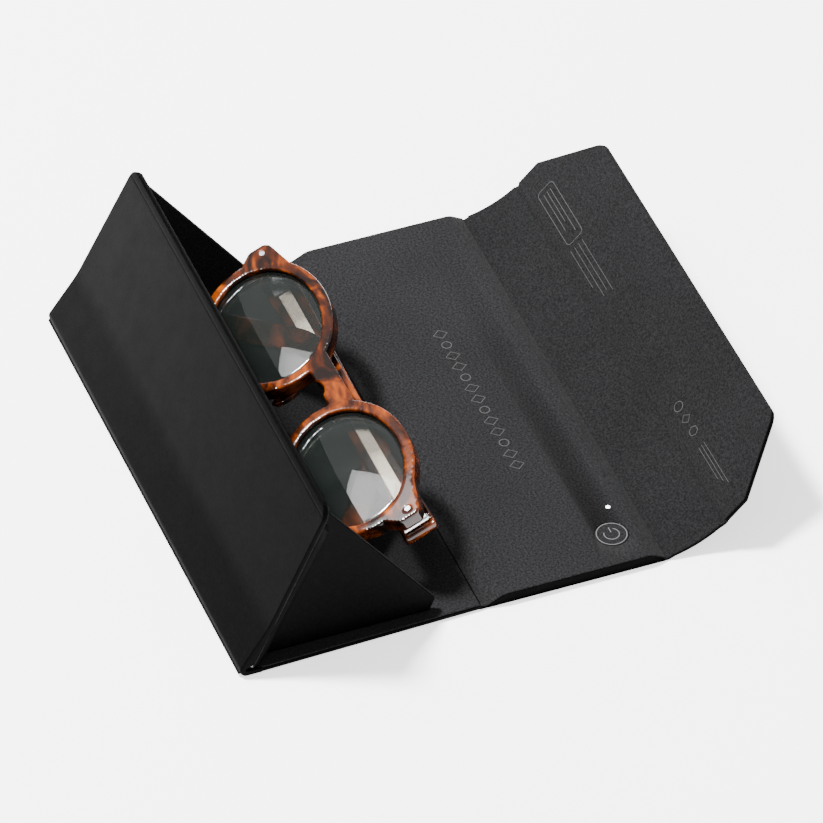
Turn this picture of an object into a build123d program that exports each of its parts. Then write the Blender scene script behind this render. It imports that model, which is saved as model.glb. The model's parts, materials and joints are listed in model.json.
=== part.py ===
from build123d import *
import os
from math import cos, sin, pi, radians

# Smart eyewear case that folds round a pair of acetate glasses. Millimetres, +Z up.
# The origin is the centre of the underside of the base panel. +X is the wearer's left, and
# the panels follow one another along +Y: wall, base, lid, spine, flap.

# ---------------------------------------------------------------- case: driving dimensions
case_length = 165.0          # length of lid, spine and flap along X
foot_length = 168.8          # length of the base and the wall at their common fold
wall_top_length = 164.5
base_depth = 79.1
lid_depth = 59.4
spine_width = 19.5
flap_width = 32.4
wall_height = 62.8
wall_angle = 64.7            # wall to base, degrees
spine_angle = 25.0           # spine to base, lying open
flap_angle = 46.4            # flap to base, lying open
fold_height = 1.0            # height of the lid's fold axes over the table

skin = 0.5                   # leather
board = 1.0                  # stiffening board of base and wall
lining = 0.5                 # felt
panel = skin + board + lining
spine_half = 0.7             # spine thickness each side of its fold plane
flap_half = 0.9
corner = 3.0
top_corner = 4.5
fold_gap = 1.0               # panels stop this far from a fold axis
slope_back = 1.6             # the base's upper layers stop short, so that the lid can shut

# ---------------------------------------------------------------- case: lid and electronics
lid_height = 4.0
lid_edge = 1.4               # thickness of the lid at its folds
tray_floor = 0.5
cover_thickness = 0.6
slope_in = 5.9               # lid fold to the edge of the raised plateau
slope_out = 53.9
screw_margin = 4.0
board_thickness = 0.8
battery_thickness = 1.8
cavity_half, cavity_depth = 74.0, 44.6
button_radius = 5.2
flange_radius = 6.0
button_gap = 0.25
button_x, button_out = 69.8, 45.9
led_x, led_out = 58.5, 49.4
pipe_radius = 0.7
magnet_radius = 5.0
magnet_x = 45.0
flap_magnet_out = 22.0
closed_flap_fold = 64.6      # wall height at which the flap's fold lies when the case is shut

# ---------------------------------------------------------------- glasses: driving dimensions
front_x, front_y, front_z = 2.0, 13.1, 23.1      # centre of the front, halfway through it
front_tilt = 25.0                # the brow lies higher than the lower rims
front_thickness = 5.0
lens_half_width, lens_half_height = 23.5, 18.7
lens_spacing = 68.0
lens_taper = 0.06                # a lens is wider at the brow
lens_thickness = 1.8
rim = 3.0
lip = 0.6
temple_height = 10.0             # temples meet the front this far above its middle
temple_thickness = 3.0
temple_bend = 85.0
ear_drop = 40.0
ear_length = 40.0
core_start, core_length = 7.0, 72.0
fold_tilt = 1.5                  # the folded temples cross the front at this angle
hinge_x = 60.5
hinge_back = 3.0                 # hinge axis behind the back of the front
barrel_radius = 1.3
screw_radius = 0.55
rivet_radius = 0.9
rivet_x, rivet_height = 61.0, 10.6
rest_half, rest_start, rest_end = 66.0, -12.0, 8.0  # card that the folded glasses lie on
rest_thickness, rest_gap = 1.2, 0.1

# ---------------------------------------------------------------- places worked out from these
wall_fold_y = -base_depth / 2
lid_fold_y = base_depth / 2
spine_fold_y = lid_fold_y + lid_depth
flap_fold_y = spine_fold_y + spine_width * cos(radians(spine_angle))
flap_fold_z = fold_height + spine_width * sin(radians(spine_angle))
half_length = case_length / 2
cover_bottom = lid_height - lining - cover_thickness
tray_top = skin + tray_floor


def panel_plane(y, z, angle, x=0):
    """Plane of a panel that rises from a fold: local x is +X, local y runs up the panel."""
    tilt = radians(angle)
    return Plane(origin=(x, y, z), x_dir=(1, 0, 0), z_dir=(0, -sin(tilt), cos(tilt)))


wall_plane = panel_plane(wall_fold_y + 1.2, 0, wall_angle)
spine_plane = panel_plane(spine_fold_y, fold_height, spine_angle)
flap_plane = panel_plane(flap_fold_y, flap_fold_z, flap_angle)
front_plane = panel_plane(front_y, front_z, front_tilt, front_x)


def keep(piece, name):
    piece.part.label = name
    export_step(piece.part, f"parts/{name}.step")


# ---------------------------------------------------------------- outlines
def base_outline(start, end, inset):
    """Base panel in plan, which tapers from the wall fold to the lid fold."""
    taper = (foot_length - case_length) / 2 / base_depth
    near = foot_length / 2 - taper * (start - wall_fold_y) - inset
    far = foot_length / 2 - taper * (end - wall_fold_y) - inset
    Polygon((-near, start), (near, start), (far, end), (-far, end), align=None)


def wall_outline(start, inset):
    """Wall panel, narrower towards its top."""
    taper = (foot_length - wall_top_length) / 2 / wall_height
    top = wall_height - inset
    low = foot_length / 2 - taper * start - inset
    high = foot_length / 2 - taper * top - inset
    Polygon((-low, start), (low, start), (high, top), (-high, top), align=None)


def flap_outline(inset):
    """Flap: full length beside its fold, then chamfered to a shorter outer edge."""
    wide = half_length - inset
    narrow = half_length - 15.9 - inset
    edge = flap_width - inset
    Polygon(
        (-wide, fold_gap), (wide, fold_gap), (wide, 10), (narrow, edge),
        (-narrow, edge), (-wide, 10), align=None,
    )


def lid_profile(low, high, depth):
    """Section of a lid layer that lies the given depth under the sloped ends."""
    run = (slope_in - fold_gap) / (lid_height - lid_edge)
    run_out = (lid_depth - fold_gap - slope_out) / (lid_height - lid_edge)
    near = [fold_gap + (z + depth - lid_edge) * run for z in (low, high)]
    far = [lid_depth - fold_gap - (z + depth - lid_edge) * run_out for z in (low, high)]
    Polygon(
        (lid_fold_y + near[0], low), (lid_fold_y + far[0], low),
        (lid_fold_y + far[1], high), (lid_fold_y + near[1], high), align=None,
    )


def lens_outline(side, grow):
    """Panto lens shape, grown by the given amount all round."""
    points = []
    for step in range(24):
        turn = 2 * pi * step / 24
        width = (lens_half_width + grow) * cos(turn) * (1 + lens_taper * sin(turn))
        height = (lens_half_height + grow) * sin(turn)
        points.append((side * lens_spacing / 2 + width, height))
    with BuildLine(mode=Mode.PRIVATE) as outline:
        Spline(*points, periodic=True)
    make_face(outline.edges())


def round_top(sketch, radius):
    fillet(sketch.vertices().group_by(Axis.Y)[-1], radius)


# ---------------------------------------------------------------- base and wall
def build_base():
    end = lid_fold_y - fold_gap
    with BuildPart() as base_skin:
        with BuildSketch():
            base_outline(wall_fold_y + 6.1, end, 0)
        extrude(amount=panel)
        with BuildSketch(Plane.XY.offset(skin)):
            base_outline(wall_fold_y, end + 1, skin)
            base_outline(end - slope_back, end + 1, 0)
        extrude(amount=board + lining, mode=Mode.SUBTRACT)
    keep(base_skin, "base_skin")

    with BuildPart() as base_board:
        with BuildSketch(Plane.XY.offset(skin)):
            base_outline(wall_fold_y + 3.0, end - slope_back / 2, skin)
        extrude(amount=board)
    keep(base_board, "base_board")

    with BuildPart() as base_lining:
        with BuildSketch(Plane.XY.offset(skin + board)):
            base_outline(wall_fold_y + 4.2, end - slope_back, skin)
        extrude(amount=lining)
    keep(base_lining, "base_lining")


def build_wall():
    foot = 3.6
    strip_end = 6.0
    rise = radians(wall_angle)
    with BuildPart() as wall_hinge:
        with BuildSketch(Plane.YZ):
            with BuildLine():
                FilletPolyline(
                    (wall_fold_y + strip_end, 0),
                    (wall_fold_y + 0.3, 0),
                    (wall_plane.origin.Y + strip_end * cos(rise), strip_end * sin(rise)),
                    radius=1.2,
                )
                offset(amount=skin, side=Side.RIGHT)
            make_face()
        extrude(amount=foot_length / 2 - skin, both=True)
    keep(wall_hinge, "wall_hinge")

    with BuildPart() as wall_skin:
        with BuildSketch(wall_plane) as outer:
            wall_outline(strip_end + 0.1, 0)
            round_top(outer, top_corner)
        extrude(amount=-panel)
        with BuildSketch(wall_plane.offset(-skin)) as inner:
            wall_outline(0, skin)
            round_top(inner, top_corner - skin)
        extrude(amount=-(board + lining), mode=Mode.SUBTRACT)
    keep(wall_skin, "wall_skin")

    magnets = [(x, closed_flap_fold - flap_magnet_out) for x in (-magnet_x, magnet_x)]
    with BuildPart() as wall_board:
        with BuildSketch(wall_plane.offset(-skin)) as sheet:
            wall_outline(foot, skin)
            round_top(sheet, top_corner - skin)
            with Locations(*magnets):
                Circle(magnet_radius, mode=Mode.SUBTRACT)
        extrude(amount=-board)
    keep(wall_board, "wall_board")

    with BuildPart() as wall_magnets:
        with BuildSketch(wall_plane.offset(-skin)):
            with Locations(*magnets):
                Circle(magnet_radius)
        extrude(amount=-board)
    keep(wall_magnets, "wall_magnets")

    with BuildPart() as wall_lining:
        with BuildSketch(wall_plane.offset(-skin - board)) as sheet:
            wall_outline(foot, skin)
            round_top(sheet, top_corner - skin)
        extrude(amount=-lining)
    keep(wall_lining, "wall_lining")


def build_gusset(side, name):
    """Triangular end panel with the soft strip that hinges it to the wall."""
    thickness = 1.4
    inner_x = 77.8
    lean = cos(radians(wall_angle)) / sin(radians(wall_angle))
    wall_inner = wall_plane.origin.Y + panel / sin(radians(wall_angle))

    def on_wall(z):
        return (wall_inner + z * lean, z)

    with BuildPart() as gusset:
        with BuildSketch(Plane.YZ.offset(side * inner_x)):
            Polygon(
                on_wall(2.6), (wall_fold_y + 5.5, panel), (wall_fold_y + 61, panel),
                (wall_fold_y + 63, 6.5), on_wall(54), align=None,
            )
        extrude(amount=side * thickness)
    keep(gusset, f"{name}_gusset_panel")

    with BuildPart() as strip:
        with BuildSketch(Plane.YZ.offset(side * (inner_x + thickness))):
            foot, top = on_wall(4.0), on_wall(52.5)
            Polygon(foot, (foot[0] + 4, foot[1]), (top[0] + 4, top[1]), top, align=None)
        extrude(amount=side * skin)
    keep(strip, f"{name}_gusset_hinge")


# ---------------------------------------------------------------- lid with its electronics
def on_lid(x, out):
    return (x, lid_fold_y + out)


def lid_layer(low, high, half, depth=0.0):
    """Slab of the raised part of the lid between two heights."""
    with BuildPart(mode=Mode.PRIVATE) as layer:
        with BuildSketch(Plane.YZ):
            lid_profile(low, high, depth)
        extrude(amount=half, both=True)
    return layer.part


def lid_slab(low, high, half):
    """Slab of the lid's full depth between two heights."""
    with BuildPart(mode=Mode.PRIVATE) as slab:
        with BuildSketch(Plane.XY.offset(low)):
            with Locations((0, lid_fold_y + lid_depth / 2)):
                Rectangle(2 * half, lid_depth - 2 * fold_gap)
        extrude(amount=high - low)
    return slab.part


screw_places = [
    on_lid(side * (half_length - screw_margin), out) for side in (-1, 1) for out in (12, 29.7, 47.5)
]


def build_lid():
    half = half_length - skin
    with BuildPart() as lid_skin:
        add(lid_slab(0, lid_edge, half_length))
        add(lid_layer(lid_edge, lid_height, half_length))
        with BuildSketch(Plane.XY.offset(skin)):
            with Locations((0, lid_fold_y + lid_depth / 2)):
                Rectangle(2 * half, lid_depth)
        extrude(amount=lid_height, mode=Mode.SUBTRACT)
    keep(lid_skin, "lid_skin")

    with BuildPart() as lid_tray:
        add(lid_slab(skin, lid_edge - lining, half))
        add(lid_layer(lid_edge - lining, cover_bottom, half, lining))
        with BuildSketch(Plane.XY.offset(tray_top)):
            with Locations((0, lid_fold_y + lid_depth / 2)):
                Rectangle(2 * cavity_half, cavity_depth)
            with Locations(on_lid(button_x, button_out)):
                Circle(flange_radius + 0.4)
        extrude(amount=lid_height, mode=Mode.SUBTRACT)
        with BuildSketch(Plane.XY.offset(1.2)):
            with Locations(*screw_places):
                Circle(0.62)
        extrude(amount=lid_height, mode=Mode.SUBTRACT)
    keep(lid_tray, "lid_tray")

    with BuildPart() as lid_cover:
        add(lid_layer(cover_bottom, lid_height - lining, half, lining))
        with BuildSketch(Plane.XY.offset(cover_bottom)):
            with Locations(on_lid(button_x, button_out)):
                Circle(button_radius + button_gap)
            with Locations(on_lid(led_x, led_out)):
                Circle(pipe_radius + 0.05)
        extrude(amount=lid_height, mode=Mode.SUBTRACT)
        with Locations(*[(x, y, lid_height - lining) for x, y in screw_places]):
            CounterSinkHole(0.75, 1.3, depth=cover_thickness)
    keep(lid_cover, "lid_cover")

    with BuildPart() as lid_lining:
        add(lid_slab(lid_edge - lining, lid_edge, half))
        add(lid_layer(lid_edge, lid_height, half))
        add(lid_layer(lid_edge - lining, lid_height - lining, half, lining), mode=Mode.SUBTRACT)
        with BuildSketch():
            with Locations(on_lid(button_x, button_out)):
                Circle(button_radius + button_gap)
            with Locations(on_lid(led_x, led_out)):
                Circle(pipe_radius + 0.05)
        extrude(amount=lid_height, mode=Mode.SUBTRACT)
    keep(lid_lining, "lid_lining")

    with BuildPart() as cover_screws:
        with BuildSketch(Plane.XY.offset(1.3)):
            with Locations(*screw_places):
                Circle(0.6)
        extrude(amount=lid_height - lining - 1.3)
        with BuildSketch(Plane.XY.offset(lid_height - lining - 0.05)):
            with Locations(*screw_places):
                Circle(1.2)
        extrude(amount=-0.4, taper=45)
    keep(cover_screws, "cover_screws")


def build_electronics():
    board_top = tray_top + board_thickness
    with BuildPart() as circuit_board:
        with BuildSketch(Plane.XY.offset(tray_top)):
            with Locations(on_lid(58, 30)):
                Rectangle(31, 43)
        extrude(amount=board_thickness)
        fillet(circuit_board.edges().filter_by(Axis.Z), 1.5)
    keep(circuit_board, "circuit_board")

    with BuildPart() as battery_cell:
        with BuildSketch(Plane.XY.offset(tray_top)):
            with Locations(on_lid(-40, 30)):
                Rectangle(60, 40)
        extrude(amount=battery_thickness)
        fillet(battery_cell.edges().filter_by(Axis.Z), 2)
    keep(battery_cell, "battery_cell")

    with BuildPart() as battery_lead:
        with BuildSketch(Plane.XY.offset(tray_top)):
            with Locations(on_lid(16.2, 50.2)):
                Rectangle(52.4, 1.6)
            with Locations(on_lid(-11, 50.7)):
                Rectangle(3, 1)
        extrude(amount=0.3)
    keep(battery_lead, "battery_lead")

    with BuildPart() as charging_coil:
        with BuildSketch(Plane.XY.offset(tray_top)):
            with Locations(on_lid(17, 29)):
                Circle(19)
                Circle(9, mode=Mode.SUBTRACT)
        extrude(amount=0.6)
    keep(charging_coil, "charging_coil")

    with BuildPart() as coil_shield:
        with BuildSketch(Plane.XY.offset(tray_top + 0.6)):
            with Locations(on_lid(17, 29)):
                Circle(20)
        extrude(amount=0.4)
    keep(coil_shield, "coil_shield")

    with BuildPart() as sounder:
        with BuildSketch(Plane.XY.offset(board_top)):
            with Locations(on_lid(52, 18)):
                Circle(5.5)
        extrude(amount=0.6)
    keep(sounder, "sounder")

    with BuildPart() as radio_module:
        with BuildSketch(Plane.XY.offset(board_top)):
            with Locations(on_lid(65.5, 20)):
                Rectangle(9, 12)
        extrude(amount=1.0)
    keep(radio_module, "radio_module")

    with BuildPart() as led_package:
        with BuildSketch(Plane.XY.offset(board_top)):
            with Locations(on_lid(led_x, led_out)):
                Rectangle(2, 1.6)
        extrude(amount=0.4)
    keep(led_package, "led_package")

    with BuildPart() as light_pipe:
        with BuildSketch(Plane.XY.offset(board_top + 0.45)):
            with Locations(on_lid(led_x, led_out)):
                Circle(1.2)
        extrude(amount=0.5)
        with BuildSketch(Plane.XY.offset(board_top + 0.9)):
            with Locations(on_lid(led_x, led_out)):
                Circle(pipe_radius)
        extrude(amount=lid_height - board_top - 0.9)
    keep(light_pipe, "light_pipe")

    with BuildPart() as button_switch:
        with BuildSketch(Plane.XY.offset(board_top)):
            with Locations(on_lid(button_x, button_out)):
                Circle(2.0)
        extrude(amount=0.4)
    keep(button_switch, "button_switch")


def build_button():
    """Round felt-topped key, held under the cover by its flange."""
    flange_top = cover_bottom - 0.05
    with BuildPart() as power_button:
        with BuildSketch(Plane.XY.offset(flange_top - 0.3)):
            with Locations(on_lid(button_x, button_out)):
                Circle(flange_radius)
        extrude(amount=0.3)
        with BuildSketch(Plane.XY.offset(flange_top)):
            with Locations(on_lid(button_x, button_out)):
                Circle(button_radius)
        extrude(amount=lid_height - flange_top)
    keep(power_button, "power_button")


# ---------------------------------------------------------------- spine and flap
def build_spine():
    width = spine_width - 2 * fold_gap
    middle = (0, spine_width / 2)
    with BuildPart() as spine_skin:
        with BuildSketch(spine_plane.offset(-spine_half)):
            with Locations(middle):
                Rectangle(case_length, width)
        extrude(amount=2 * spine_half)
        with BuildSketch(spine_plane.offset(-spine_half + skin)):
            with Locations(middle):
                Rectangle(case_length - 2 * skin, width + 2)
        extrude(amount=2 * spine_half, mode=Mode.SUBTRACT)
    keep(spine_skin, "spine_skin")

    with BuildPart() as spine_board:
        with BuildSketch(spine_plane.offset(-spine_half + skin)):
            with Locations(middle):
                Rectangle(case_length - 2 * skin, width)
        extrude(amount=2 * spine_half - skin - 0.4)
    keep(spine_board, "spine_board")

    with BuildPart() as spine_lining:
        with BuildSketch(spine_plane.offset(spine_half - 0.4)):
            with Locations(middle):
                Rectangle(case_length - 2 * skin, width)
        extrude(amount=0.4)
    keep(spine_lining, "spine_lining")


def build_flap():
    core = 2 * flap_half - 2 * skin
    magnets = [(x, flap_magnet_out) for x in (-magnet_x, magnet_x)]
    with BuildPart() as flap_skin:
        with BuildSketch(flap_plane.offset(-flap_half)) as outer:
            flap_outline(0)
            round_top(outer, corner)
        extrude(amount=2 * flap_half)
        with BuildSketch(flap_plane.offset(-flap_half + skin)) as inner:
            flap_outline(skin)
            round_top(inner, corner - skin)
            with Locations((0, fold_gap)):
                Rectangle(case_length - 2 * skin, 2)
        extrude(amount=2 * flap_half, mode=Mode.SUBTRACT)
    keep(flap_skin, "flap_skin")

    with BuildPart() as flap_board:
        with BuildSketch(flap_plane.offset(-flap_half + skin)) as sheet:
            flap_outline(skin)
            round_top(sheet, corner - skin)
            with Locations(*magnets):
                Circle(magnet_radius, mode=Mode.SUBTRACT)
        extrude(amount=core)
    keep(flap_board, "flap_board")

    with BuildPart() as flap_magnets:
        with BuildSketch(flap_plane.offset(-flap_half + skin)):
            with Locations(*magnets):
                Circle(magnet_radius)
        extrude(amount=core)
    keep(flap_magnets, "flap_magnets")

    with BuildPart() as flap_lining:
        with BuildSketch(flap_plane.offset(flap_half - skin)) as sheet:
            flap_outline(skin)
            round_top(sheet, corner - skin)
        extrude(amount=skin)
    keep(flap_lining, "flap_lining")


# ---------------------------------------------------------------- card under the glasses
def build_rest():
    with BuildPart() as glasses_rest:
        with BuildSketch(Plane.XY.offset(panel + rest_gap)):
            with Locations((0, (rest_start + rest_end) / 2)):
                RectangleRounded(2 * rest_half, rest_end - rest_start, corner)
        extrude(amount=rest_thickness)
    keep(glasses_rest, "glasses_rest")


# ---------------------------------------------------------------- glasses: front
axis_depth = -front_thickness / 2 - hinge_back
hinge_low, hinge_high = temple_height - 4, temple_height + 4
knuckle_low, knuckle_high = temple_height - 1.4, temple_height + 1.4


def hinge_plane(side, height):
    """Plane across a temple's hinge axis; local x is +X and local y points behind the front."""
    origin = front_plane.from_local_coords((side * hinge_x, height, axis_depth))
    return Plane(origin=origin, x_dir=(1, 0, 0), z_dir=front_plane.y_dir)


def build_front():
    half = front_thickness / 2
    with BuildPart() as front_frame:
        with BuildSketch(front_plane):
            for side in (-1, 1):
                lens_outline(side, rim)
                with BuildSketch(mode=Mode.PRIVATE) as end_piece:
                    Polygon(
                        (side * 46, 18.2), (side * 57, 15.4), (side * 62.6, 14), (side * 64.2, 12.4),
                        (side * 64.2, 6.8), (side * 61.5, 3.6), (side * 54, -2), align=None,
                    )
                    fillet(end_piece.vertices(), 1.5)
                add(end_piece.sketch)
            with Locations((0, 9.0)):
                Rectangle(22, 7.4)
            with Locations((0, 2.4)):
                Circle(4.4, mode=Mode.SUBTRACT)
            for side in (-1, 1):
                with BuildSketch(mode=Mode.PRIVATE) as opening:
                    lens_outline(side, -lip)
                add(opening.sketch, mode=Mode.SUBTRACT)
        extrude(amount=half, both=True)
        groove = lens_thickness / 2 + 0.05
        with BuildSketch(front_plane.offset(-groove)):
            for side in (-1, 1):
                lens_outline(side, 0.05)
        extrude(amount=2 * groove, mode=Mode.SUBTRACT)
        with BuildSketch(front_plane.offset(-half)):
            with Locations(*[(side * (hinge_x - 2.5), temple_height) for side in (-1, 1)]):
                Rectangle(6.7, 8.2)
        extrude(amount=0.8, mode=Mode.SUBTRACT)
        with BuildSketch(front_plane.offset(-half)):
            with Locations(*[(side * rivet_x, rivet_height) for side in (-1, 1)]):
                Circle(rivet_radius)
        extrude(amount=front_thickness, mode=Mode.SUBTRACT)
    keep(front_frame, "front_frame")


def build_front_side(side, name):
    half = front_thickness / 2
    with BuildPart() as lens:
        with BuildSketch(front_plane.offset(-lens_thickness / 2)):
            lens_outline(side, 0)
        extrude(amount=lens_thickness)
    keep(lens, f"{name}_lens")

    with BuildPart() as nose_pad:
        with BuildSketch(front_plane.offset(-half)):
            with Locations((side * 9.3, -5.0)):
                Ellipse(1.8, 5.0)
        with BuildSketch(front_plane.offset(-half - 2.8)):
            with Locations((side * 9.6, -5.0)):
                Ellipse(1.0, 4.0)
        loft()
    keep(nose_pad, f"{name}_nose_pad")

    with BuildPart() as front_hinge:
        with BuildSketch(front_plane.offset(-half)):
            with Locations((side * (hinge_x - 2.55), temple_height)):
                Rectangle(6.5, 8)
        extrude(amount=0.75)
        for low, high in ((hinge_low, knuckle_low - 0.1), (knuckle_high + 0.1, hinge_high)):
            with BuildSketch(hinge_plane(side, low)):
                Circle(barrel_radius)
                with Locations((0, -hinge_back / 2 - 0.1)):
                    Rectangle(1.5, hinge_back + 0.2)
            extrude(amount=high - low)
        with BuildSketch(hinge_plane(side, hinge_low - 1)):
            Circle(screw_radius + 0.05)
        extrude(amount=10, mode=Mode.SUBTRACT)
    keep(front_hinge, f"{name}_front_hinge")

    with BuildPart() as rivet:
        with BuildSketch(front_plane.offset(-half + 0.85)):
            with Locations((side * rivet_x, rivet_height)):
                Circle(rivet_radius)
        extrude(amount=front_thickness - 0.75)
    keep(rivet, f"{name}_rivet")


# ---------------------------------------------------------------- glasses: folded temples
def temple_plane(side):
    """Local x runs along a folded temple, local y up the front; +z is outward on the left."""
    swing = radians(fold_tilt)
    along = Vector(1, 0, 0) * (-side * cos(swing)) + front_plane.z_dir * (side * sin(swing))
    across = along.cross(front_plane.y_dir)
    origin = front_plane.from_local_coords((side * hinge_x, temple_height, axis_depth))
    return Plane(origin=origin, x_dir=along, z_dir=across)


def build_temple(side, name):
    plane = temple_plane(side)
    inner, outer = side * 1.0, side * (1.0 + temple_thickness)
    drop = radians(ear_drop)
    tip_x = temple_bend + ear_length * cos(drop)
    tip_y = -ear_length * sin(drop)
    across_x, across_y = 4.6 * sin(drop), 4.6 * cos(drop)
    core_low = inner + side * 1.1
    core_high = inner + side * 1.9

    with BuildPart() as temple:
        with BuildSketch(plane.offset(inner)):
            with BuildLine():
                FilletPolyline(
                    (-2.9, 5.6), (55, 4.3), (temple_bend + 1.4, 4.1),
                    (tip_x + across_x, tip_y + across_y), (tip_x - across_x, tip_y - across_y),
                    (temple_bend - 1.4, -4.1), (55, -4.3), (-2.9, -5.6),
                    close=True, radius=[0.8, 30, 25, 3.5, 3.5, 18, 30, 0.8],
                )
            make_face()
        extrude(amount=outer - inner)
        with BuildSketch(hinge_plane(side, 0)):
            Circle(barrel_radius + 0.25)
        extrude(amount=2 * temple_height, mode=Mode.SUBTRACT)
        with BuildSketch(plane.offset(core_low - side * 0.02)):
            with Locations((core_start + core_length / 2, 0)):
                Rectangle(core_length + 0.2, 2.44)
        extrude(amount=core_high - core_low + side * 0.04, mode=Mode.SUBTRACT)
    keep(temple, f"{name}_temple")

    with BuildPart() as temple_core:
        with BuildSketch(plane.offset(core_low)):
            with Locations((core_start + core_length / 2, 0)):
                Rectangle(core_length, 2.4)
        extrude(amount=core_high - core_low)
    keep(temple_core, f"{name}_temple_core")

    with BuildPart() as temple_hinge:
        with BuildSketch(hinge_plane(side, knuckle_low)):
            Circle(barrel_radius)
        extrude(amount=knuckle_high - knuckle_low)
        with BuildSketch(plane.offset(side * 0.2)):
            with Locations((6, 0)):
                Rectangle(8, 6)
            with Locations((1.2, 0)):
                Rectangle(2.4, knuckle_high - knuckle_low)
        extrude(amount=side * 0.8)
        with BuildSketch(hinge_plane(side, hinge_low)):
            Circle(screw_radius + 0.05)
        extrude(amount=8, mode=Mode.SUBTRACT)
    keep(temple_hinge, f"{name}_temple_hinge")

    with BuildPart() as hinge_screw:
        with BuildSketch(hinge_plane(side, hinge_low)):
            Circle(screw_radius)
        extrude(amount=8.0)
        with BuildSketch(hinge_plane(side, hinge_high)):
            Circle(1.0)
        extrude(amount=0.5)
    keep(hinge_screw, f"{name}_hinge_screw")


# ---------------------------------------------------------------- the whole object
os.makedirs("parts", exist_ok=True)
build_base()
build_wall()
build_lid()
build_electronics()
build_button()
build_spine()
build_flap()
build_rest()
build_front()
for side, name in ((1, "left"), (-1, "right")):
    build_gusset(side, name)
    build_front_side(side, name)
    build_temple(side, name)
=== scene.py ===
import bpy
import bmesh
import json
from math import atan2, cos, hypot, pi, radians, sin, sqrt, tan
from mathutils import Matrix, Vector


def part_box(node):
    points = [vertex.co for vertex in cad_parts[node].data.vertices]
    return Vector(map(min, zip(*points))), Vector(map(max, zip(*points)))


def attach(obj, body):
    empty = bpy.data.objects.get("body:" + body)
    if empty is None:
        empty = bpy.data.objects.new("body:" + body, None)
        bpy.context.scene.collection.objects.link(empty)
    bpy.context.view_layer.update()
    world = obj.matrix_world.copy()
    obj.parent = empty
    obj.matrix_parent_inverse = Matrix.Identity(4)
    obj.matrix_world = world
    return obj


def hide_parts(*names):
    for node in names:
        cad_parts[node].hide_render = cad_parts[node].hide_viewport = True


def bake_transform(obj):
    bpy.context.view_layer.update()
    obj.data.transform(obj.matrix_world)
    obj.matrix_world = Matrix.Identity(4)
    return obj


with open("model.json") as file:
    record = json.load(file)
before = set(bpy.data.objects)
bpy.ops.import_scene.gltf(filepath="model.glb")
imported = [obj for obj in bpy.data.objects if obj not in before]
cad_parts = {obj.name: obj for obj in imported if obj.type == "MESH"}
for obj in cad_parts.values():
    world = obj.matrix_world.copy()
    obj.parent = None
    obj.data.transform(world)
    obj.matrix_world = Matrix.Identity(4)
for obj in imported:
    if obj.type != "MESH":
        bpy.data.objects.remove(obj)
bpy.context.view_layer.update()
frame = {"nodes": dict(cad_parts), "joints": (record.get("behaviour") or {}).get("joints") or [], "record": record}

MM = 0.001                      # pieces are laid out in millimetres; make() turns them into metres
SIDES = ((1, "left"), (-1, "right"))

# ------------------------------------------------------------------ places read from the frame
joints = {joint["name"]: joint for joint in frame["joints"]}
lid_y, lid_z = [v / MM for v in joints["lid_fold"]["pos_m"][1:]]
spine_y, spine_z = [v / MM for v in joints["spine_fold"]["pos_m"][1:]]
flap_y, flap_z = [v / MM for v in joints["flap_fold"]["pos_m"][1:]]


def box_mm(node):
    low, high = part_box(node)
    return low / MM, high / MM


base_high = box_mm("base_skin")[1]
strip_low = box_mm("wall_hinge")[0]
wall_high = box_mm("wall_skin")[1]
lid_high = box_mm("lid_skin")[1]
gusset_low, gusset_high = box_mm("left_gusset_panel")
key_low, key_high = box_mm("power_button")
pipe_low, pipe_high = box_mm("light_pipe")

half_length = lid_high.x        # of the lid, spine and flap, along the folds
foot_half = base_high.x + 0.15  # of the base and the wall's foot, which are a little longer
panel_thickness = 2.0
wall_angle = radians(64.7)
wall_reach = 62.8
wall_top_half = 82.25
wall_foot_y = wall_high.y - panel_thickness * sin(wall_angle) - wall_reach * cos(wall_angle)
lid_height = lid_high.z
spine_angle = atan2(flap_z - spine_z, flap_y - spine_y)
spine_width = hypot(flap_z - spine_z, flap_y - spine_y)
flap_angle = radians(46.4)
flap_width = 32.4
felt_shortfall = 0.15           # felt stops this far short of the leather's edge
temple_axis = joints["right_temple_fold"]["axis"]
front_tilt = atan2(temple_axis[2], temple_axis[1])
front_up = Vector((0, cos(front_tilt), sin(front_tilt)))
front_out = Vector((0, -sin(front_tilt), cos(front_tilt)))


# ------------------------------------------------------------------ camera
def make_camera():
    data = bpy.data.cameras.new("camera")
    data.lens = 354.8
    data.sensor_width = 36
    data.clip_start, data.clip_end = 0.1, 20
    camera = bpy.data.objects.new("camera", data)
    bpy.context.scene.collection.objects.link(camera)
    place = Vector((1.68505, -0.64326, 1.68646))
    target = Vector((-0.00602, 0.05066, 0))
    roll = radians(1.13)
    turn = (target - place).to_track_quat("-Z", "Y").to_matrix().to_4x4()
    camera.matrix_world = Matrix.Translation(place) @ turn @ Matrix.Rotation(roll, 4, "Z")
    bpy.context.scene.camera = camera


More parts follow.
